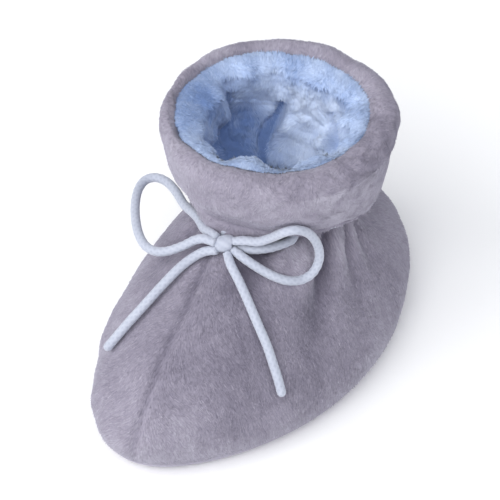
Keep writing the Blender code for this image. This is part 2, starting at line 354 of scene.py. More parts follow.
def row_run(grid):
    """How far each point is along its column from the first row."""
    steps = np.linalg.norm(np.diff(grid, axis=0), axis=2)
    return np.concatenate([np.zeros((1, grid.shape[1])), np.cumsum(steps, axis=0)])


def bump(value, centre, spread):
    """A soft hump of height 1."""
    return np.exp(-(((value - centre) / spread) ** 2))


def short_way(degrees):
    """The same turn in degrees, taken the short way round."""
    return (degrees + 180.0) % 360.0 - 180.0


def apart(angles, centre):
    """The angle from centre, in degrees, the short way round."""
    return short_way(np.degrees(angles) - centre)


def waves(points, scale, seed, octaves=2):
    """Smooth pseudo-random values of about -1 to 1, from sine waves in space."""
    rng = np.random.default_rng(seed)
    total = np.zeros(points.shape[:-1])
    for octave in range(octaves):
        for _ in range(7):
            direction = rng.normal(size=3)
            direction *= 2 * math.pi / (scale / 2**octave) / np.linalg.norm(direction)
            phase = rng.uniform(0, 2 * math.pi)
            total += np.sin(points @ direction + phase) * 0.42 / 2**octave
    return total


# Materials

def shader_of(name):
    made = bpy.data.materials.new(name)
    made.use_nodes = True
    return made, made.node_tree, made.node_tree.nodes["Principled BSDF"]


def node(tree, kind, **values):
    made = tree.nodes.new(kind)
    for key, value in values.items():
        if key in made.inputs:
            made.inputs[key].default_value = value
        else:
            setattr(made, key, value)
    return made


def ramp(tree, source, stops):
    made = tree.nodes.new("ShaderNodeValToRGB")
    elements = made.color_ramp.elements
    while len(elements) < len(stops):
        elements.new(0.5)
    for element, (position, colour) in zip(elements, stops):
        element.position = position
        element.color = (*colour, 1.0)
    tree.links.new(source, made.inputs["Fac"])
    return made.outputs["Color"]


def plush_material(name, look):
    """Plush: each tuft has its own tone, which also holds the painted light and shade, with soft mottling and
    a fine fibre grain.
    """
    made, tree, shader = shader_of(name)
    place = node(tree, "ShaderNodeTexCoord").outputs["Object"]
    tone = node(tree, "ShaderNodeAttribute", attribute_name="tone")
    mottle = node(tree, "ShaderNodeTexNoise", Scale=look["mottle"], Detail=3.0)
    grain = node(tree, "ShaderNodeTexNoise", Scale=look["grain"], Detail=2.0)
    tree.links.new(place, mottle.inputs["Vector"])
    tree.links.new(place, grain.inputs["Vector"])
    mixed = node(tree, "ShaderNodeMath", operation="MULTIPLY_ADD")
    mixed.inputs[1].default_value = MOTTLE_SHARE
    tree.links.new(mottle.outputs["Fac"], mixed.inputs[0])
    tree.links.new(tone.outputs["Fac"], mixed.inputs[2])
    colour = ramp(tree, mixed.outputs["Value"], list(zip(PLUSH_STOPS, look["colours"])))
    tree.links.new(colour, shader.inputs["Base Color"])
    raised = node(tree, "ShaderNodeBump", Strength=0.5, Distance=0.0004)
    tree.links.new(grain.outputs["Fac"], raised.inputs["Height"])
    tree.links.new(raised.outputs["Normal"], shader.inputs["Normal"])
    shader.inputs["Roughness"].default_value = 0.95
    shader.inputs["Specular IOR Level"].default_value = 0.15
    shader.inputs["Sheen Weight"].default_value = PLUSH_SHEEN
    shader.inputs["Sheen Roughness"].default_value = 0.45
    shader.inputs["Sheen Tint"].default_value = (*look["tint"], 1.0)
    return made


def cord_material():
    made, tree, shader = shader_of("braided_cord")
    place = node(tree, "ShaderNodeTexCoord").outputs["Object"]
    fibre = node(tree, "ShaderNodeTexNoise", Scale=2600.0, Detail=3.0)
    soil = node(tree, "ShaderNodeTexNoise", Scale=160.0, Detail=2.0)
    tree.links.new(place, fibre.inputs["Vector"])
    tree.links.new(place, soil.inputs["Vector"])
    tone = node(tree, "ShaderNodeAttribute", attribute_name="tone")
    mixed = node(tree, "ShaderNodeMath", operation="MULTIPLY_ADD")
    mixed.inputs[1].default_value = 0.3
    tree.links.new(soil.outputs["Fac"], mixed.inputs[0])
    tree.links.new(tone.outputs["Fac"], mixed.inputs[2])
    tree.links.new(ramp(tree, mixed.outputs["Value"], CORD_STOPS), shader.inputs["Base Color"])
    raised = node(tree, "ShaderNodeBump", Strength=0.35, Distance=0.00015)
    tree.links.new(fibre.outputs["Fac"], raised.inputs["Height"])
    tree.links.new(raised.outputs["Normal"], shader.inputs["Normal"])
    shader.inputs["Roughness"].default_value = 0.85
    shader.inputs["Specular IOR Level"].default_value = 0.25
    shader.inputs["Sheen Weight"].default_value = 0.3
    return made


# Pieces

def add_piece(name, vertices, faces, material, tone, normals=None):
    """A mesh piece that rides on the part's one body."""
    mesh = bpy.data.meshes.new(name)
    mesh.from_pydata(vertices, [], faces)
    mesh.materials.append(material)
    mesh.shade_smooth()
    layer = mesh.attributes.new("tone", "FLOAT", "POINT")
    layer.data.foreach_set("value", tone.astype(np.float32))
    if normals is not None:
        mesh.normals_split_custom_set_from_vertices(normals)
    obj = bpy.data.objects.new(name, mesh)
    bpy.context.scene.collection.objects.link(obj)
    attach(obj, BODY)
    return obj


def ring_faces(rows, columns, closed):
    """Four-sided faces between rows of points, and from the last row to the first if closed."""
    low = np.arange(rows if closed else rows - 1)[:, None] * columns + np.arange(columns)[None, :]
    high = (low + columns) % (rows * columns)
    step = np.roll(np.arange(columns), -1) - np.arange(columns)
    faces = np.stack([low, low + step, high + step, high], axis=-1)
    return faces.reshape(-1, 4)


def skin_piece(name, grid, shade, thickness, material, flip=False):
    """A closed skin: the shown grid, and a coarser hidden face behind it."""
    _, _, out = grid_frame(grid)
    rows = np.linspace(len(grid) - 1, 0, HIDDEN_ROWS).round().astype(int)
    behind = grid[rows] - out[rows] * thickness
    points = np.concatenate([grid, behind])
    tone = np.concatenate([shade, shade[rows]])
    faces = ring_faces(len(points), grid.shape[1], closed=True)
    if flip:
        faces = faces[:, ::-1]
    return add_piece(name, points.reshape(-1, 3), faces.tolist(), material, tone=tone.ravel())


def nap_piece(name, grid, flow, out, shade, count, size, material, seed, weight=None):
    """The nap on a grid, as many short closed spikes that lie along the flow.

    shade is the nap's tone at each point, from 0 for dark to 1 for light, with the painted light and
    shade in it, and weight is how thickly it grows there. size is one of the naps listed above.
    """
    rng = np.random.default_rng(seed)
    rows, columns = grid.shape[:2]
    cell = grid[:-1]
    across = np.roll(cell, -1, axis=1) - cell
    upward = grid[1:] - cell
    area = np.linalg.norm(np.cross(across, upward), axis=2)
    if weight is not None:
        area = area * weight[:-1]
    picks = rng.choice(area.size, size=count, p=(area / area.sum()).ravel())
    row, column = np.divmod(picks, columns)
    after = (column + 1) % columns
    a = rng.random(count)[:, None]
    b = rng.random(count)[:, None]

    def between(field):
        low = field[row, column] * (1 - a) + field[row, after] * a
        high = field[row + 1, column] * (1 - a) + field[row + 1, after] * a
        return low * (1 - b) + high * b

    def unit(vectors):
        return vectors / np.linalg.norm(vectors, axis=1, keepdims=True)

    root = between(grid)
    normal = unit(between(out))
    along = between(flow) + rng.normal(scale=size["stray"], size=(count, 3))
    along = unit(along - normal * np.sum(along * normal, axis=1, keepdims=True))
    stand = np.clip(size["stand"] * (1 + rng.normal(scale=0.3, size=(count, 1))), 0.03, 0.95)
    axis = along * np.sqrt(1 - stand**2) + normal * stand
    side = unit(np.cross(axis, normal))
    ridge = unit(np.cross(side, axis))
    ridge *= np.sign(np.sum(ridge * normal, axis=1, keepdims=True))
    grow = rng.uniform(0.65, 1.3, size=(count, 1))
    half = side * size["width"] / 2 * grow
    corners = np.stack(
        [
            root - half - normal * ROOT_DEPTH,
            root + half - normal * ROOT_DEPTH,
            root + ridge * size["ridge"] * grow,
            root + axis * size["length"] * grow,
        ],
        axis=1,
    )
    faces = np.arange(count)[:, None, None] * 4 + np.array(SPIKE_FACES)
    base = np.cross(corners[:, 1] - corners[:, 0], corners[:, 2] - corners[:, 0])
    turned = np.sum(base * axis, axis=1) > 0
    faces[turned] = faces[turned][:, :, ::-1]
    tone = between(shade[..., None])[:, 0] + rng.normal(scale=size["tone"], size=count)
    soft = unit(normal + ridge * 0.25)
    lean_left = unit(soft - side * 0.35)
    lean_right = unit(soft + side * 0.35)
    normals = np.stack([lean_left, lean_right, soft, soft], axis=1)
    return add_piece(
        name,
        corners.reshape(-1, 3),
        faces.reshape(-1, 3).tolist(),
        material,
        tone=np.clip(np.repeat(tone, 4), 0.0, 1.0),
        normals=normals.reshape(-1, 3),
    )


# Body of the shoe

BODY_COLUMNS = 264
BODY_ROWS = 96
NECK_ROWS = 14

# The front seam's sideways place from the middle, by the distance in front of the ankle.
SEAM_AHEAD = [0.0300, 0.0365, 0.0470, 0.0600, 0.0700, 0.0780]
SEAM_ACROSS = [-0.0045, -0.0033, -0.0016, -0.0004, 0.0018, 0.0044]

# Gathers below the cuff. Angle and spread in degrees, reach down the wall and depth in mm.
GATHERS = [
    {"angle": 4, "spread": 6.0, "reach": 12, "depth": -1.2},
    {"angle": 19, "spread": 8.0, "reach": 17, "depth": 3.2},
    {"angle": 36, "spread": 7.0, "reach": 17, "depth": -1.9},
    {"angle": 52, "spread": 6.0, "reach": 22, "depth": -3.0},
    {"angle": 65, "spread": 4.6, "reach": 24, "depth": 4.6},
    {"angle": 77, "spread": 5.5, "reach": 18, "depth": -2.0},
    {"angle": 87, "spread": 3.6, "reach": 15, "depth": 2.0},
    {"angle": 95, "spread": 4.0, "reach": 14, "depth": -1.3},
    {"angle": 103, "spread": 3.8, "reach": 16, "depth": 1.9},
    {"angle": 120, "spread": 5.0, "reach": 10, "depth": 1.0},
    {"angle": 139, "spread": 6.0, "reach": 12, "depth": 1.6},
    {"angle": 160, "spread": 6.0, "reach": 9, "depth": 1.1},
    {"angle": 184, "spread": 6.0, "reach": 12, "depth": 1.6},
    {"angle": 207, "spread": 5.0, "reach": 9, "depth": 1.1},
    {"angle": 229, "spread": 6.0, "reach": 13, "depth": 1.7},
    {"angle": 252, "spread": 5.0, "reach": 9, "depth": 1.2},
    {"angle": 273, "spread": 5.0, "reach": 11, "depth": 1.5},
    {"angle": 296, "spread": 6.0, "reach": 10, "depth": 1.3},
    {"angle": 318, "spread": 6.0, "reach": 15, "depth": 1.6},
    {"angle": 338, "spread": 5.0, "reach": 11, "depth": 1.2},
]


def front_seam_offset(grid):
    """How far each point is to the wearer's left of the front seam, and 1 where the seam runs."""
    ahead = -grid[..., 1]
    seam = np.interp(ahead, SEAM_AHEAD, SEAM_ACROSS)
    return grid[..., 0] - seam, np.clip((ahead - 0.020) / 0.006, 0.0, 1.0)


def gathered(grid, below):
    """How deep the gathers are, in mm, at this distance below the neck in mm."""
    angles = angles_round(grid.shape[1])[None, :]
    down = np.clip(below, 0.0, None)
    depth = np.zeros(grid.shape[:2])
    for gather in GATHERS:
        across = apart(angles, gather["angle"]) / (gather["spread"] * (1 + down / 40))
        depth += gather["depth"] * bump(down, 0.0, gather["reach"]) * bump(across, 0.0, 1.0)
    return depth


def below_neck(grid, rows):
    run = row_run(grid)
    return (run[rows][None, :] - run) / MM


def body_grid(columns, rows):
    """The body's skin with its seam, gathers and soft unevenness, before placing."""
    angles = angles_round(columns)
    under_cuff = CUFF_WALL + GAP
    shaft = [ring(angles, "casing"), ring(angles, "turn", under_cuff), ring(angles, "belly", under_cuff)]
    body = smooth_stack(body_rings(angles, 24), rows)
    neck = smooth_stack([body[-2], body[-1]] + shaft, NECK_ROWS)[1:]
    tucked = at_height(seam_outline(angles, 0.0007), SOLE_THICKNESS + GAP)
    grid = np.concatenate([[tucked], body[:-1], neck])
    _, _, out = grid_frame(grid)
    run = row_run(grid)
    below = below_neck(grid, rows)
    across, runs = front_seam_offset(grid)
    depth = 0.9 * bump(across, 0.0, 0.0009) * runs - 0.35 * bump(np.abs(across), 0.0042, 0.0030) * runs
    back = (grid[..., 1] > 0) * bump(grid[..., 0], 0.0, 0.0011)
    depth += 0.6 * back
    depth += gathered(grid, below)
    depth += 0.24 * waves(grid, 0.021, seed=4)
    room = np.clip(below, 0.0, 12.0)
    depth = np.clip(depth, -0.5 - room / 4.0, 1.8 + room / 6.0) * np.clip((run / MM) / 6.0, 0.0, 1.0)
    seam_edge = 0.5 * bump(run / MM, 0.0, 1.4)
    moved = NAP_DEPTH + (depth + seam_edge) * MM
    low = np.clip(run / 0.004, 0.25, 1.0)
    return grid - out * (moved * low)[..., None]


def body_flow(grid):
    """The nap on the body runs down and away from the front seam, and along it beside it."""
    up, side, out = grid_frame(grid)
    angles = angles_round(grid.shape[1])[None, :]
    across, _ = front_seam_offset(grid)
    turn = np.radians(48.0) * np.clip(1.15 - np.abs(apart(angles, 0.0)) / 95.0, 0.0, 1.0)
    turn = turn * np.tanh(across / 0.004)
    turn = turn + np.radians(14.0) * waves(grid, 0.017, seed=9)
    flow = -up * np.cos(turn)[..., None] + side * np.sin(turn)[..., None]
    return flow, out


def body_shade(grid):
    """The nap's tone, with painted shade over the instep, along the front seam and in the gathers, and
    painted light near the sole.
    """
    angles = angles_round(grid.shape[1])[None, :]
    height = grid[..., 2] / MM
    # Painted shade over the instep and the top of the toe.
    shade = 0.50 - 0.13 * bump(height, 34.0, 12.0) * np.clip(np.cos(angles) + 0.3, 0.0, 1.0)
    # Painted light near the sole, and a little on the wearer's right side.
    shade = shade + 0.20 * bump(height, 3.0, 8.0) + 0.02 * np.clip(-np.sin(angles), 0.0, 1.0)
    # Painted shade in the gathers' troughs and painted light on their ridges.
    shade = shade - 0.11 * np.clip(gathered(grid, below_neck(grid, BODY_ROWS)), -1.5, 3.5)
    across, runs = front_seam_offset(grid)
    # Painted shade along the front seam's trough and over the toe, darker on the wearer's left of the seam.
    shade = shade - (0.12 * bump(across, 0.0, 0.0008) + 0.05 + 0.05 * np.tanh(across / 0.004)) * runs
    return shade + 0.04 * waves(grid, 0.016, seed=61) + 0.025 * waves(grid, 0.0042, seed=65)


def build_body(material):
    grid = body_grid(BODY_COLUMNS, BODY_ROWS)
    flow, out = body_flow(grid)
    shown = placed(grid)
    shade = body_shade(grid)
    piece = skin_piece("upper_plush", shown, shade, SKIN_THICKNESS, material)
    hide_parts("upper")
    angles = angles_round(grid.shape[1])[None, :]
    front = (np.cos(angles) > 0.35) * np.ones(grid.shape[:2])
    covered = np.ones(grid.shape[:2])
    covered[BODY_ROWS + 1 :] = 0.15
    covered[BODY_ROWS + 8 :] = 0.0
    halves = [("nap_front", 42000, 11, front * covered), ("nap_back", 38000, 12, (1 - front) * covered)]
    for name, count, seed, half in halves:
        nap_piece(name, shown, flow, out, shade, count, BODY_NAP, material, seed, half)


# Cuff

CUFF_COLUMNS = 264
CUFF_ROWS = 84

# Rows of the cuff that reach about to its brow and to its crown, counted from under the hem, and the
# share of all its rows that is its outside.
BROW_ROW = 50
CROWN_ROW = 56
OUTSIDE_SHARE = 0.66


def hem_line(angles):
    """The height of the stitched line above the cuff's hem, in mm."""
    return 46.5 + 4.3 * np.cos(angles)


def cuff_grid(columns, rows):
    """The cuff from its hem, up over the rim and down its inner side, before placing."""
    angles = angles_round(columns)
    front = bump(apart(angles, -8.0), 0.0, 34.0)
    left_side = bump(apart(angles, 100.0), 0.0, 38.0)
    tongue = bump(apart(angles, -8.0), 0.0, 13.0)
    tucked_drop = -0.0012 + 0.0046 * front - 0.0012 * left_side + 0.0012 * tongue
    tucked = ring(angles, "casing", -0.0007 - 0.0036 * front - 0.0012 * tongue, tucked_drop)
    hem_drop = 0.0034 * front - 0.0022 * left_side + 0.0012 * tongue
    hem = ring(angles, "hem", -0.0028 * front - 0.0012 * tongue, hem_drop)
    names = ("turn", "belly", "brow", "crown")
    profile = [tucked, hem] + [ring(angles, name) for name in names] + rim_rings(angles)
    inner = rim_ring(angles, rim_width(angles) + 0.0004, 0.0050)
    grid = smooth_stack(profile + [inner], rows)
    _, _, out = grid_frame(grid)
    height = grid[..., 2] / MM
    line = hem_line(angles)[None, :]
    outside = (np.arange(rows) < rows * OUTSIDE_SHARE)[:, None]
    depth = 0.7 * bump(height, line, 0.9) * outside
    depth += 0.7 * front / (1 + np.exp((height - line + 0.4) / 0.5)) * outside
    depth += 0.7 * bump(apart(angles, 110.0), 0.0, 40.0)[None, :] * outside - 0.4
    pleats = np.sin(angles * 47.0 + 2.0 * np.sin(angles * 5.0))[None, :]
    depth += 0.08 * pleats * bump(height, line - 2.0, 2.0) * outside
    seam = bump(apart(angles, -5.0), 0.0, 2.2)[None, :]
    depth += 0.5 * seam * bump(height, 62.0, 7.0) * outside
    depth += 0.28 * waves(grid, 0.026, seed=21) + 0.10 * waves(grid, 0.008, seed=22)
    return grid - out * (NAP_DEPTH + depth * MM)[..., None]


def build_cuff(material):
    grid = cuff_grid(CUFF_COLUMNS, CUFF_ROWS)
    up, side, out = grid_frame(grid)
    angles = angles_round(grid.shape[1])[None, :]
    swirl = 0.45 + 1.1 * bump(apart(angles, 78.0), 0.0, 38.0)
    turn = swirl * waves(grid, 0.010, seed=31)
    flow = -up * np.cos(turn)[..., None] + side * np.sin(turn)[..., None]
    shown = placed(grid)
    outer = (np.arange(CUFF_ROWS) <= CROWN_ROW)[:, None]
    # Random mottling, with painted light on the cuff's outside towards the wearer's left.
    shade = 0.52 + 0.05 * waves(grid, 0.014, seed=62) + 0.07 * bump(apart(angles, 65.0), 0.0, 30.0) * outer
    shade = shade + 0.08 * waves(grid, 0.0045, seed=64) * bump(apart(angles, 80.0), 0.0, 45.0)
    # Painted shade along the stitched line above the hem, strongest at the front.
    line = bump(grid[..., 2] / MM, hem_line(angles), 0.7) * (np.arange(CUFF_ROWS) < BROW_ROW)[:, None]
    shade = shade - 0.16 * line * np.clip(np.cos(angles) + 0.4, 0.0, 1.0)
    # Painted shade on the rim, over its top and inner side, on the wearer's left.
    shade = shade - 0.17 * bump(apart(angles, 85.0), 0.0, 45.0) * (1 - outer)
    piece = skin_piece("cuff_plush", shown, shade, CUFF_SKIN_THICKNESS, material)
    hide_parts("cuff")
    nap_piece("nap_cuff", shown, flow, out, shade, 42000, CUFF_NAP, material, 13)


# Lining

LINING_COLUMNS = 248
LINING_ROWS = 92
LOW_LINING_ROWS = 40
LINING_FULLNESS = 0.0026

# Soft folds of the lining. Angle and spread in degrees, how far down from the rim and how tall in mm,
# and how far the fold stands into the shoe in mm.
FOLDS = [
    {"angle": -82, "spread": 24, "down": 6, "tall": 11, "in": 6.2},
    {"angle": -44, "spread": 21, "down": 4, "tall": 8, "in": 3.2},
    {"angle": -127, "spread": 16, "down": 3, "tall": 12, "in": 3.6},
    {"angle": 180, "spread": 41, "down": 10, "tall": 23, "in": 3.0},
    {"angle": 182, "spread": 36, "down": 17, "tall": 15, "in": 2.6},
    {"angle": 148, "spread": 17, "down": 29, "tall": 9, "in": 5.2},
    {"angle": 127, "spread": 15, "down": 5, "tall": 13, "in": 3.0},
    {"angle": 116, "spread": 16, "down": 11, "tall": 12, "in": 4.2},
    {"angle": 85, "spread": 15, "down": 10, "tall": 10, "in": 3.0},
    {"angle": 50, "spread": 14, "down": 8, "tall": 9, "in": 2.4},
    {"angle": 12, "spread": 14, "down": 4, "tall": 6, "in": 2.6},
]

# How much of the lining is tucked behind the grey edge, in mm, and where it swells up over that edge.
EDGE_RUN = 2.0
RIM_SWELLS = [
    {"angle": 10, "spread": 13, "up": 2.0},
    {"angle": -25, "spread": 12, "up": 1.0},
    {"angle": -62, "spread": 22, "up": 1.0},
    {"angle": -130, "spread": 12, "up": 0.6},
    {"angle": 150, "spread": 12, "up": 0.8},
]

# Creases between them: angle at the top and at the bottom in degrees, how far down from the rim they
# start and end, their width and their depth in mm.
CREASES = [
    {"top": -109, "bottom": -106, "from": 10, "to": 36, "width": 2.0, "depth": 3.6},
    {"top": -150, "bottom": -131, "from": 16, "to": 42, "width": 2.0, "depth": 6.0},
    {"top": 164, "bottom": 150, "from": 13, "to": 23, "width": 2.4, "depth": 3.4},
    {"top": 136, "bottom": 133, "from": 6, "to": 34, "width": 1.6, "depth": 2.4},
    {"top": 103, "bottom": 100, "from": 5, "to": 34, "width": 1.6, "depth": 2.4},
    {"top": 68, "bottom": 66, "from": 4, "to": 32, "width": 1.6, "depth": 2.2},
    {"top": 31, "bottom": 30, "from": 3, "to": 30, "width": 1.6, "depth": 2.0},
    {"top": -20, "bottom": -28, "from": 3, "to": 30, "width": 1.6, "depth": 2.0},
]


def plain_lining(angles):
    """The lining without folds, from its border on the rim, down the shaft and on to the insole."""
    wave = np.sin(angles * 7.0 + 1.0) + np.sin(angles * 13.0) + 0.7 * np.sin(angles * 23.0 + 2.0)
    edge = rim_width(angles) + 0.30 * MM * wave
    sunk = 0.7 * MM * np.clip(np.cos(angles - math.radians(100.0)) + 0.2, 0.0, 1.0)
    wall = CUFF_WALL + GAP + UPPER_WALL
    top = [
        rim_ring(angles, edge - 0.0012, 0.0032),
        rim_ring(angles, edge - 0.0002, 0.0021),
        rim_ring(angles, edge + 0.0008, 0.0020 + sunk),
        rim_ring(angles, edge + 0.0017, 0.0032 + sunk),
        rim_ring(angles, edge * 0.6 + wall * 0.4 + 0.0012, 0.0070),
    ]
    top += [ring(angles, "belly", wall + 0.0002), ring(angles, "turn", wall + 0.0014)]
    inset = UPPER_WALL + LINING_FULLNESS
    top += [ring(angles, "casing", inset), ring(angles, "ankle", inset)]
    shaft = smooth_stack(top, LINING_ROWS)
    body = np.array(body_rings(angles, 24))
    _, _, body_out = grid_frame(body)
    inside = (body - body_out * inset)[::-1]
    low = smooth_stack(list(inside[1:]), LOW_LINING_ROWS)
    return np.concatenate([shaft, low[1:-1]])


def lining_grid(columns):
    """The lining with its folds, how far each point is from the edge, and its creases' depth, in mm."""
    angles = angles_round(columns)
    grid = plain_lining(angles)
    _, _, out = grid_frame(grid)
    run = row_run(grid) / MM - EDGE_RUN
    inward = np.full(grid.shape[:2], 0.6)
    raised = np.zeros(grid.shape[:2])
    for swell in RIM_SWELLS:
        shape = bump(apart(angles, swell["angle"]), 0.0, swell["spread"])[None, :]
        raised += swell["up"] * shape * bump(run, 1.0, 2.6)
    strayed = np.degrees(angles)[None, :] + 3.0 * waves(grid, 0.018, seed=44)
    lower = run + 1.2 * waves(grid, 0.018, seed=45)
    creased = np.zeros(grid.shape[:2])
    for fold in FOLDS:
        away = short_way(strayed - fold["angle"])
        across = np.exp(-((away / fold["spread"]) ** 4))
        inward += fold["in"] * across * np.exp(-(((lower - fold["down"]) / fold["tall"]) ** 4))
    for crease in CREASES:
        share = np.clip((run - crease["from"]) / (crease["to"] - crease["from"]), 0.0, 1.0)
        middle = crease["top"] + (crease["bottom"] - crease["top"]) * share
        away = short_way(strayed - middle)
        ends = np.clip((run - crease["from"] + 3) / 3, 0, 1)
        ends *= np.clip((crease["to"] + 5 - run) / 5, 0, 1)
        creased += crease["depth"] * bump(np.radians(away) * 22.0, 0.0, crease["width"]) * ends
    inward -= creased
    inward += 0.45 * waves(grid, 0.014, seed=41) + 0.12 * waves(grid, 0.005, seed=42)
    inward = np.clip(inward, 0.5, None) * np.clip((run + 1.0) / 4.0, 0.0, 1.0)
    axis_ward = -grid * (1.0, 1.0, 0.0)
    axis_ward /= np.linalg.norm(axis_ward, axis=2, keepdims=True)
    deep = np.clip((run - 8.0) / 10.0, 0.0, 1.0)[..., None]
    push = axis_ward * (1 - deep) + out * deep
    moved = grid + push * (inward * MM)[..., None]
    moved[..., 2] += raised * MM
    return moved, run, creased


def build_lining(material):
    grid, run, creased = lining_grid(LINING_COLUMNS)
    up, side, out = grid_frame(grid)
    turn = 0.55 * waves(grid, 0.012, seed=43)
    downward = np.clip((run - 0.5) / 2.0, -1.0, 1.0)
    flow = up * (np.cos(turn) * downward)[..., None] + side * np.sin(turn)[..., None]
    shown = placed(grid)
    angles = angles_round(grid.shape[1])[None, :]
    # Painted shade on the lining's roll on the wearer's right.
    shade = 0.52 - 0.26 * bump(apart(angles, -82.0), 0.0, 34.0)
    # Painted shade deeper down the shaft.
    shade = shade - 0.22 * np.clip((run - 14.0) / 22.0, 0.0, 1.0)
    # Painted light on the back wall below the border, and painted shade in the creases.
    middle_down = np.clip((run - 3.0) / 6.0, 0.0, 1.0) * np.clip((44.0 - run) / 10.0, 0.0, 1.0)
    shade = shade + 0.42 * bump(apart(angles, 178.0), 0.0, 40.0) * middle_down - 0.07 * creased
    # Painted light low on the wall at the back on the wearer's left.
    shade = shade + 0.12 * bump(apart(angles, 140.0), 0.0, 24.0) * bump(run, 30.0, 12.0)
    # Painted shade at the border, least on the wearer's right back.
    shade = shade - 0.08 * bump(run, 0.0, 5.0) * (1.0 - bump(apart(angles, -120.0), 0.0, 60.0))
    # Painted shade deep down near the insole.
    shade = shade - 0.20 * np.clip((run - 34.0) / 8.0, 0.0, 1.0)
    # Painted shade on the lower wall at the back on the wearer's right.
    shade = shade - 0.22 * bump(apart(angles, -122.0), 0.0, 20.0) * np.clip((run - 12.0) / 6.0, 0.0, 1.0)
    shade = shade + 0.05 * waves(grid, 0.009, seed=63)
    skin_piece("lining_plush", shown, shade, LINING_SKIN_THICKNESS, material, flip=True)
    at_edge = bump(run, 0.1, 0.9)
    nap_piece("nap_border", shown, -up, out, shade, 6000, BORDER_NAP, material, 15, at_edge)
    seen = np.where(run < 48, 1.0, 0.12)
    nap_piece("nap_lining", shown, flow, out, shade, 42000, LINING_NAP, material, 14, seen)


# Sole

SOLE_COLUMNS = 240
INSOLE_COLUMNS = 160
# The sole and insole pads' tone, lighter than the body's usual tone: painted light, as on the body near the
# sole.
SOLE_TONE = 0.64

# The sole's rounded edge: how far in from its outline, and how high.
SOLE_EDGE = [(0.0020, 0.0034), (0.0010, 0.0032), (0.0010, 0.0021), (0.0024, 0.0008), (0.0047, 0.0)]


def pad_piece(name, rings, material):
    """A closed pad from rings that run from the middle of its top round to the middle underneath."""
    grid = placed(np.array(rings))
    rows, columns = grid.shape[:2]
    points = grid.reshape(-1, 3)
    centres = [grid[0].mean(axis=0), grid[-1].mean(axis=0)]
    faces = ring_faces(rows, columns, closed=False)[:, ::-1].tolist()
    first, last = rows * columns, rows * columns + 1
    for i in range(columns):
        j = (i + 1) % columns
        faces.append((first, i, j))
        faces.append((last, (rows - 1) * columns + j, (rows - 1) * columns + i))
    tone = np.full(last + 1, SOLE_TONE)
    return add_piece(name, np.concatenate([points, centres]), faces, material, tone=tone)


def build_sole(material):
    angles = angles_round(SOLE_COLUMNS)
    outline = seam_outline(angles)
    edge = smooth_stack([at_height(seam_outline(angles, inset), z) for inset, z in SOLE_EDGE], 14)
    top = [at_height(outline * share, SOLE_THICKNESS) for share in (0.2, 0.5, 0.8)]
    under = [at_height(outline * share, 0.0) for share in np.linspace(0.88, 0.1, 26)]
    piece = pad_piece("sole_plush", top + list(edge) + under, material)
    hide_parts("outsole")


def build_insole(material):
    angles = angles_round(INSOLE_COLUMNS)
    low = SOLE_THICKNESS + GAP
    high = low + INSOLE_THICKNESS
    inset = UPPER_WALL + GAP
    shares = np.linspace(0.06, 0.86, 22)
    edge = [
        at_height(seam_outline(angles, inset + 0.0020), high),
        at_height(seam_outline(angles, inset + 0.0006), high - 0.0005),
        at_height(seam_outline(angles, inset), high - 0.0014),
        at_height(seam_outline(angles, inset), low),
    ]
    outline = seam_outline(angles, inset)
    top = np.array([at_height(outline * share, high) for share in shares])
    top[..., 2] += 0.0005 * waves(top, 0.014, seed=51)
    under = [at_height(outline * share, low) for share in (0.8, 0.4)]
    piece = pad_piece("insole_plush", list(top) + edge + under, material)
    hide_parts("insole")


# Cord

BRAID_SIDES = 16
BRAID_STEP = 0.00030
BRAID_PITCH = 0.0019
BRAID_RELIEF = 0.00007


def smooth_route(points, spacing):
    """Evenly spaced points along a smooth curve through a route's own points."""
    curve = smoothed(np.array(points), 24)
    run = np.concatenate([[0.0], np.cumsum(np.linalg.norm(np.diff(curve, axis=0), axis=1))])
    stops = np.linspace(0.0, run[-1], round(run[-1] / spacing) + 1)
    return np.column_stack([np.interp(stops, run, curve[:, axis]) for axis in range(3)]), run[-1]


def tube_frame(line):
    """A direction across the line at each point, carried along it without twisting."""
    ahead = np.gradient(line, axis=0)
    ahead = ahead / np.linalg.norm(ahead, axis=1, keepdims=True)
    across = np.cross(ahead[0], (0.0, 0.0, 1.0))
    frames = []
    for direction in ahead:
        across = across - direction * np.dot(across, direction)
        across = across / np.linalg.norm(across)
        frames.append(across)
    first = np.array(frames)
    return first, np.cross(ahead, first)


def braided_cord(name, route, squeezed, material):
    """A round braided cord along a route, squeezed where it goes into the knot."""
    line, length = smooth_route(route, BRAID_STEP)
    first, second = tube_frame(line)
    run = np.linspace(0.0, length, len(line))
    turn = angles_round(BRAID_SIDES)[None, :]
    phase = 2 * math.pi * run[:, None] / BRAID_PITCH
    strands = np.maximum(np.cos(4 * turn + phase), np.cos(4 * turn - phase))
    radius = CORD_DIAMETER / 2 - BRAID_RELIEF * (1 - strands)
    for end in squeezed:
        gap = run if end == 0 else length - run
        radius = radius * (1 - 0.10 * bump(gap, 0.0, 0.0016))[:, None]
    if -1 not in squeezed:
        rounded = np.clip((length - run) / (CORD_DIAMETER * 0.5), 0.0, 1.0)
        radius = radius * np.sqrt(1 - (1 - rounded) ** 2 * 0.75)[:, None]
    grid = line[:, None, :] + radius[..., None] * (
        first[:, None, :] * np.cos(turn)[..., None] + second[:, None, :] * np.sin(turn)[..., None]
    )
    rows = len(line)
    faces = ring_faces(rows, BRAID_SIDES, closed=False).tolist()
    faces.append(tuple(range(BRAID_SIDES))[::-1])
    faces.append(tuple((rows - 1) * BRAID_SIDES + i for i in range(BRAID_SIDES)))
    # Painted shade in the grooves between the braid's strands, lighter on their crowns.
    tone = 0.28 + 0.28 * (strands + 1) / 2
    obj = add_piece(name, grid.reshape(-1, 3), faces, material, tone=tone.ravel())
    return obj, line, length


def build_drawstring(material):
    angles = angles_round(48)
    groove = ring(angles, "casing", -(CORD_DIAMETER / 2 + GAP), 0.0012)
    round_heel = placed(groove)[5:44]
    route = LEAD_LEFT + [tuple(point) for point in round_heel[::-1]] + LEAD_RIGHT
    piece, _, _ = braided_cord("drawstring_cord", route, (0, -1), material)
    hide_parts("drawstring")


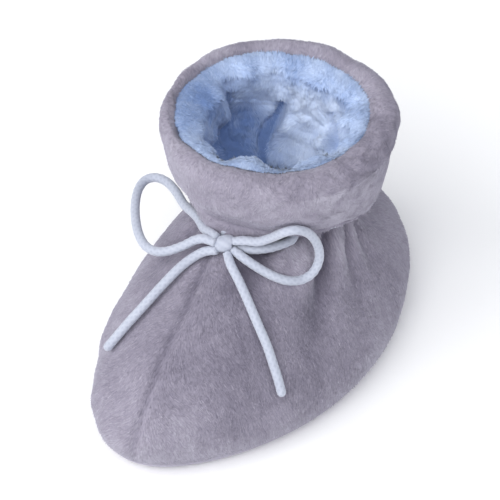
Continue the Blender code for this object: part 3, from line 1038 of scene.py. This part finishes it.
def build_knot(material):
    """The knot: a wrap of the cord over the roots of the loops and ends."""
    middle = np.array(KNOT)
    across = np.array((0.93, 0.30, 0.20))
    across = across / np.linalg.norm(across)
    facing = np.array((0.321, -0.627, 0.710))
    facing = facing - across * np.dot(facing, across)
    facing = facing / np.linalg.norm(facing)
    upward = np.cross(facing, across)
    steps = 64
    sides = 16
    vertices = []
    tones = []
    for i in range(steps):
        turn = 2 * math.pi * i / steps
        out = facing * math.cos(turn) + upward * math.sin(turn)
        shift = across * 0.00045 * math.sin(turn)
        centre = middle + shift + facing * 0.0012 * math.cos(turn) + upward * 0.00125 * math.sin(turn)
        for j in range(sides):
            roll = 2 * math.pi * j / sides
            twist = math.cos(4 * roll + 7 * turn)
            radius = 0.00125 + 0.00004 * twist
            high = centre + out * radius * 0.9 * math.cos(roll)
            vertices.append(high + across * radius * 2.0 * math.sin(roll))
            # Painted shade in the twist's grooves, lighter on its ridges.
            tones.append(0.45 + 0.12 * twist)
    faces = []
    for i in range(steps):
        for j in range(sides):
            a = i * sides + j
            b = i * sides + (j + 1) % sides
            c = ((i + 1) % steps) * sides + (j + 1) % sides
            d = ((i + 1) % steps) * sides + j
            faces.append((a, b, c, d))
    piece = add_piece("knot_wrap", np.array(vertices), faces, material, tone=np.array(tones))
    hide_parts("knot")
    return piece


def build_bow(material):
    knot = build_knot(material)
    parts = [
        ("loop_left", LOOP_LEFT, (0, -1), "object"),
        ("loop_right", LOOP_RIGHT, (0, -1), "object"),
        ("end_left", END_LEFT, (0,), "bare"),
        ("end_right", END_RIGHT, (0,), "bare"),
    ]
    for name, route, squeezed, far_end in parts:
        piece, line, length = braided_cord(name + "_cord", route, squeezed, material)
        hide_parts(name)


# Floor, lights and camera

def build_stage():
    mesh = bpy.data.meshes.new("floor")
    half = 4.0
    corners = [(-half, -half, 0), (half, -half, 0), (half, half, 0), (-half, half, 0)]
    mesh.from_pydata(corners, [], [(0, 1, 2, 3)])
    made, _, shader = shader_of("pale_floor")
    shader.inputs["Base Color"].default_value = (0.98, 0.98, 0.98, 1.0)
    shader.inputs["Roughness"].default_value = 0.9
    shader.inputs["Specular IOR Level"].default_value = 0.1
    mesh.materials.append(made)
    floor = bpy.data.objects.new("floor", mesh)
    bpy.context.scene.collection.objects.link(floor)


def add_light(name, place, size, power, colour):
    light = bpy.data.lights.new(name, "AREA")
    light.shape = "DISK"
    light.size = size
    light.energy = power
    light.color = colour
    obj = bpy.data.objects.new(name, light)
    obj.location = place
    obj.rotation_mode = "QUATERNION"
    obj.rotation_quaternion = (Vector(place) - Vector((0, 0, 0.03))).to_track_quat("Z", "Y")
    bpy.context.scene.collection.objects.link(obj)


def build_lights():
    for light in LIGHTS:
        add_light(*light)
    world = bpy.data.worlds.new("studio")
    world.use_nodes = True
    background = world.node_tree.nodes["Background"]
    background.inputs["Color"].default_value = (0.93, 0.95, 1.0, 1.0)
    background.inputs["Strength"].default_value = 0.70
    bpy.context.scene.world = world
    bpy.context.scene.view_settings.view_transform = "Standard"
    bpy.context.scene.view_settings.look = "None"


def build_camera():
    data = bpy.data.cameras.new("camera")
    data.lens = CAMERA_LENS
    data.sensor_width = 36.0
    camera = bpy.data.objects.new("camera", data)
    camera.location = CAMERA_PLACE
    camera.rotation_mode = "QUATERNION"
    camera.rotation_quaternion = (Vector(CAMERA_TARGET) - Vector(CAMERA_PLACE)).to_track_quat("-Z", "Y")
    data.clip_start = 0.05
    data.clip_end = 20.0
    bpy.context.scene.collection.objects.link(camera)
    bpy.context.scene.camera = camera


def main():
    build_camera()
    build_stage()
    build_lights()
    grey = plush_material("grey_plush_nap", GREY_PLUSH)
    blue = plush_material("blue_plush_nap", BLUE_PLUSH)
    cord = cord_material()
    build_drawstring(cord)
    build_bow(cord)
    build_body(grey)
    build_cuff(grey)
    build_lining(blue)
    build_sole(grey)
    build_insole(blue)


main()

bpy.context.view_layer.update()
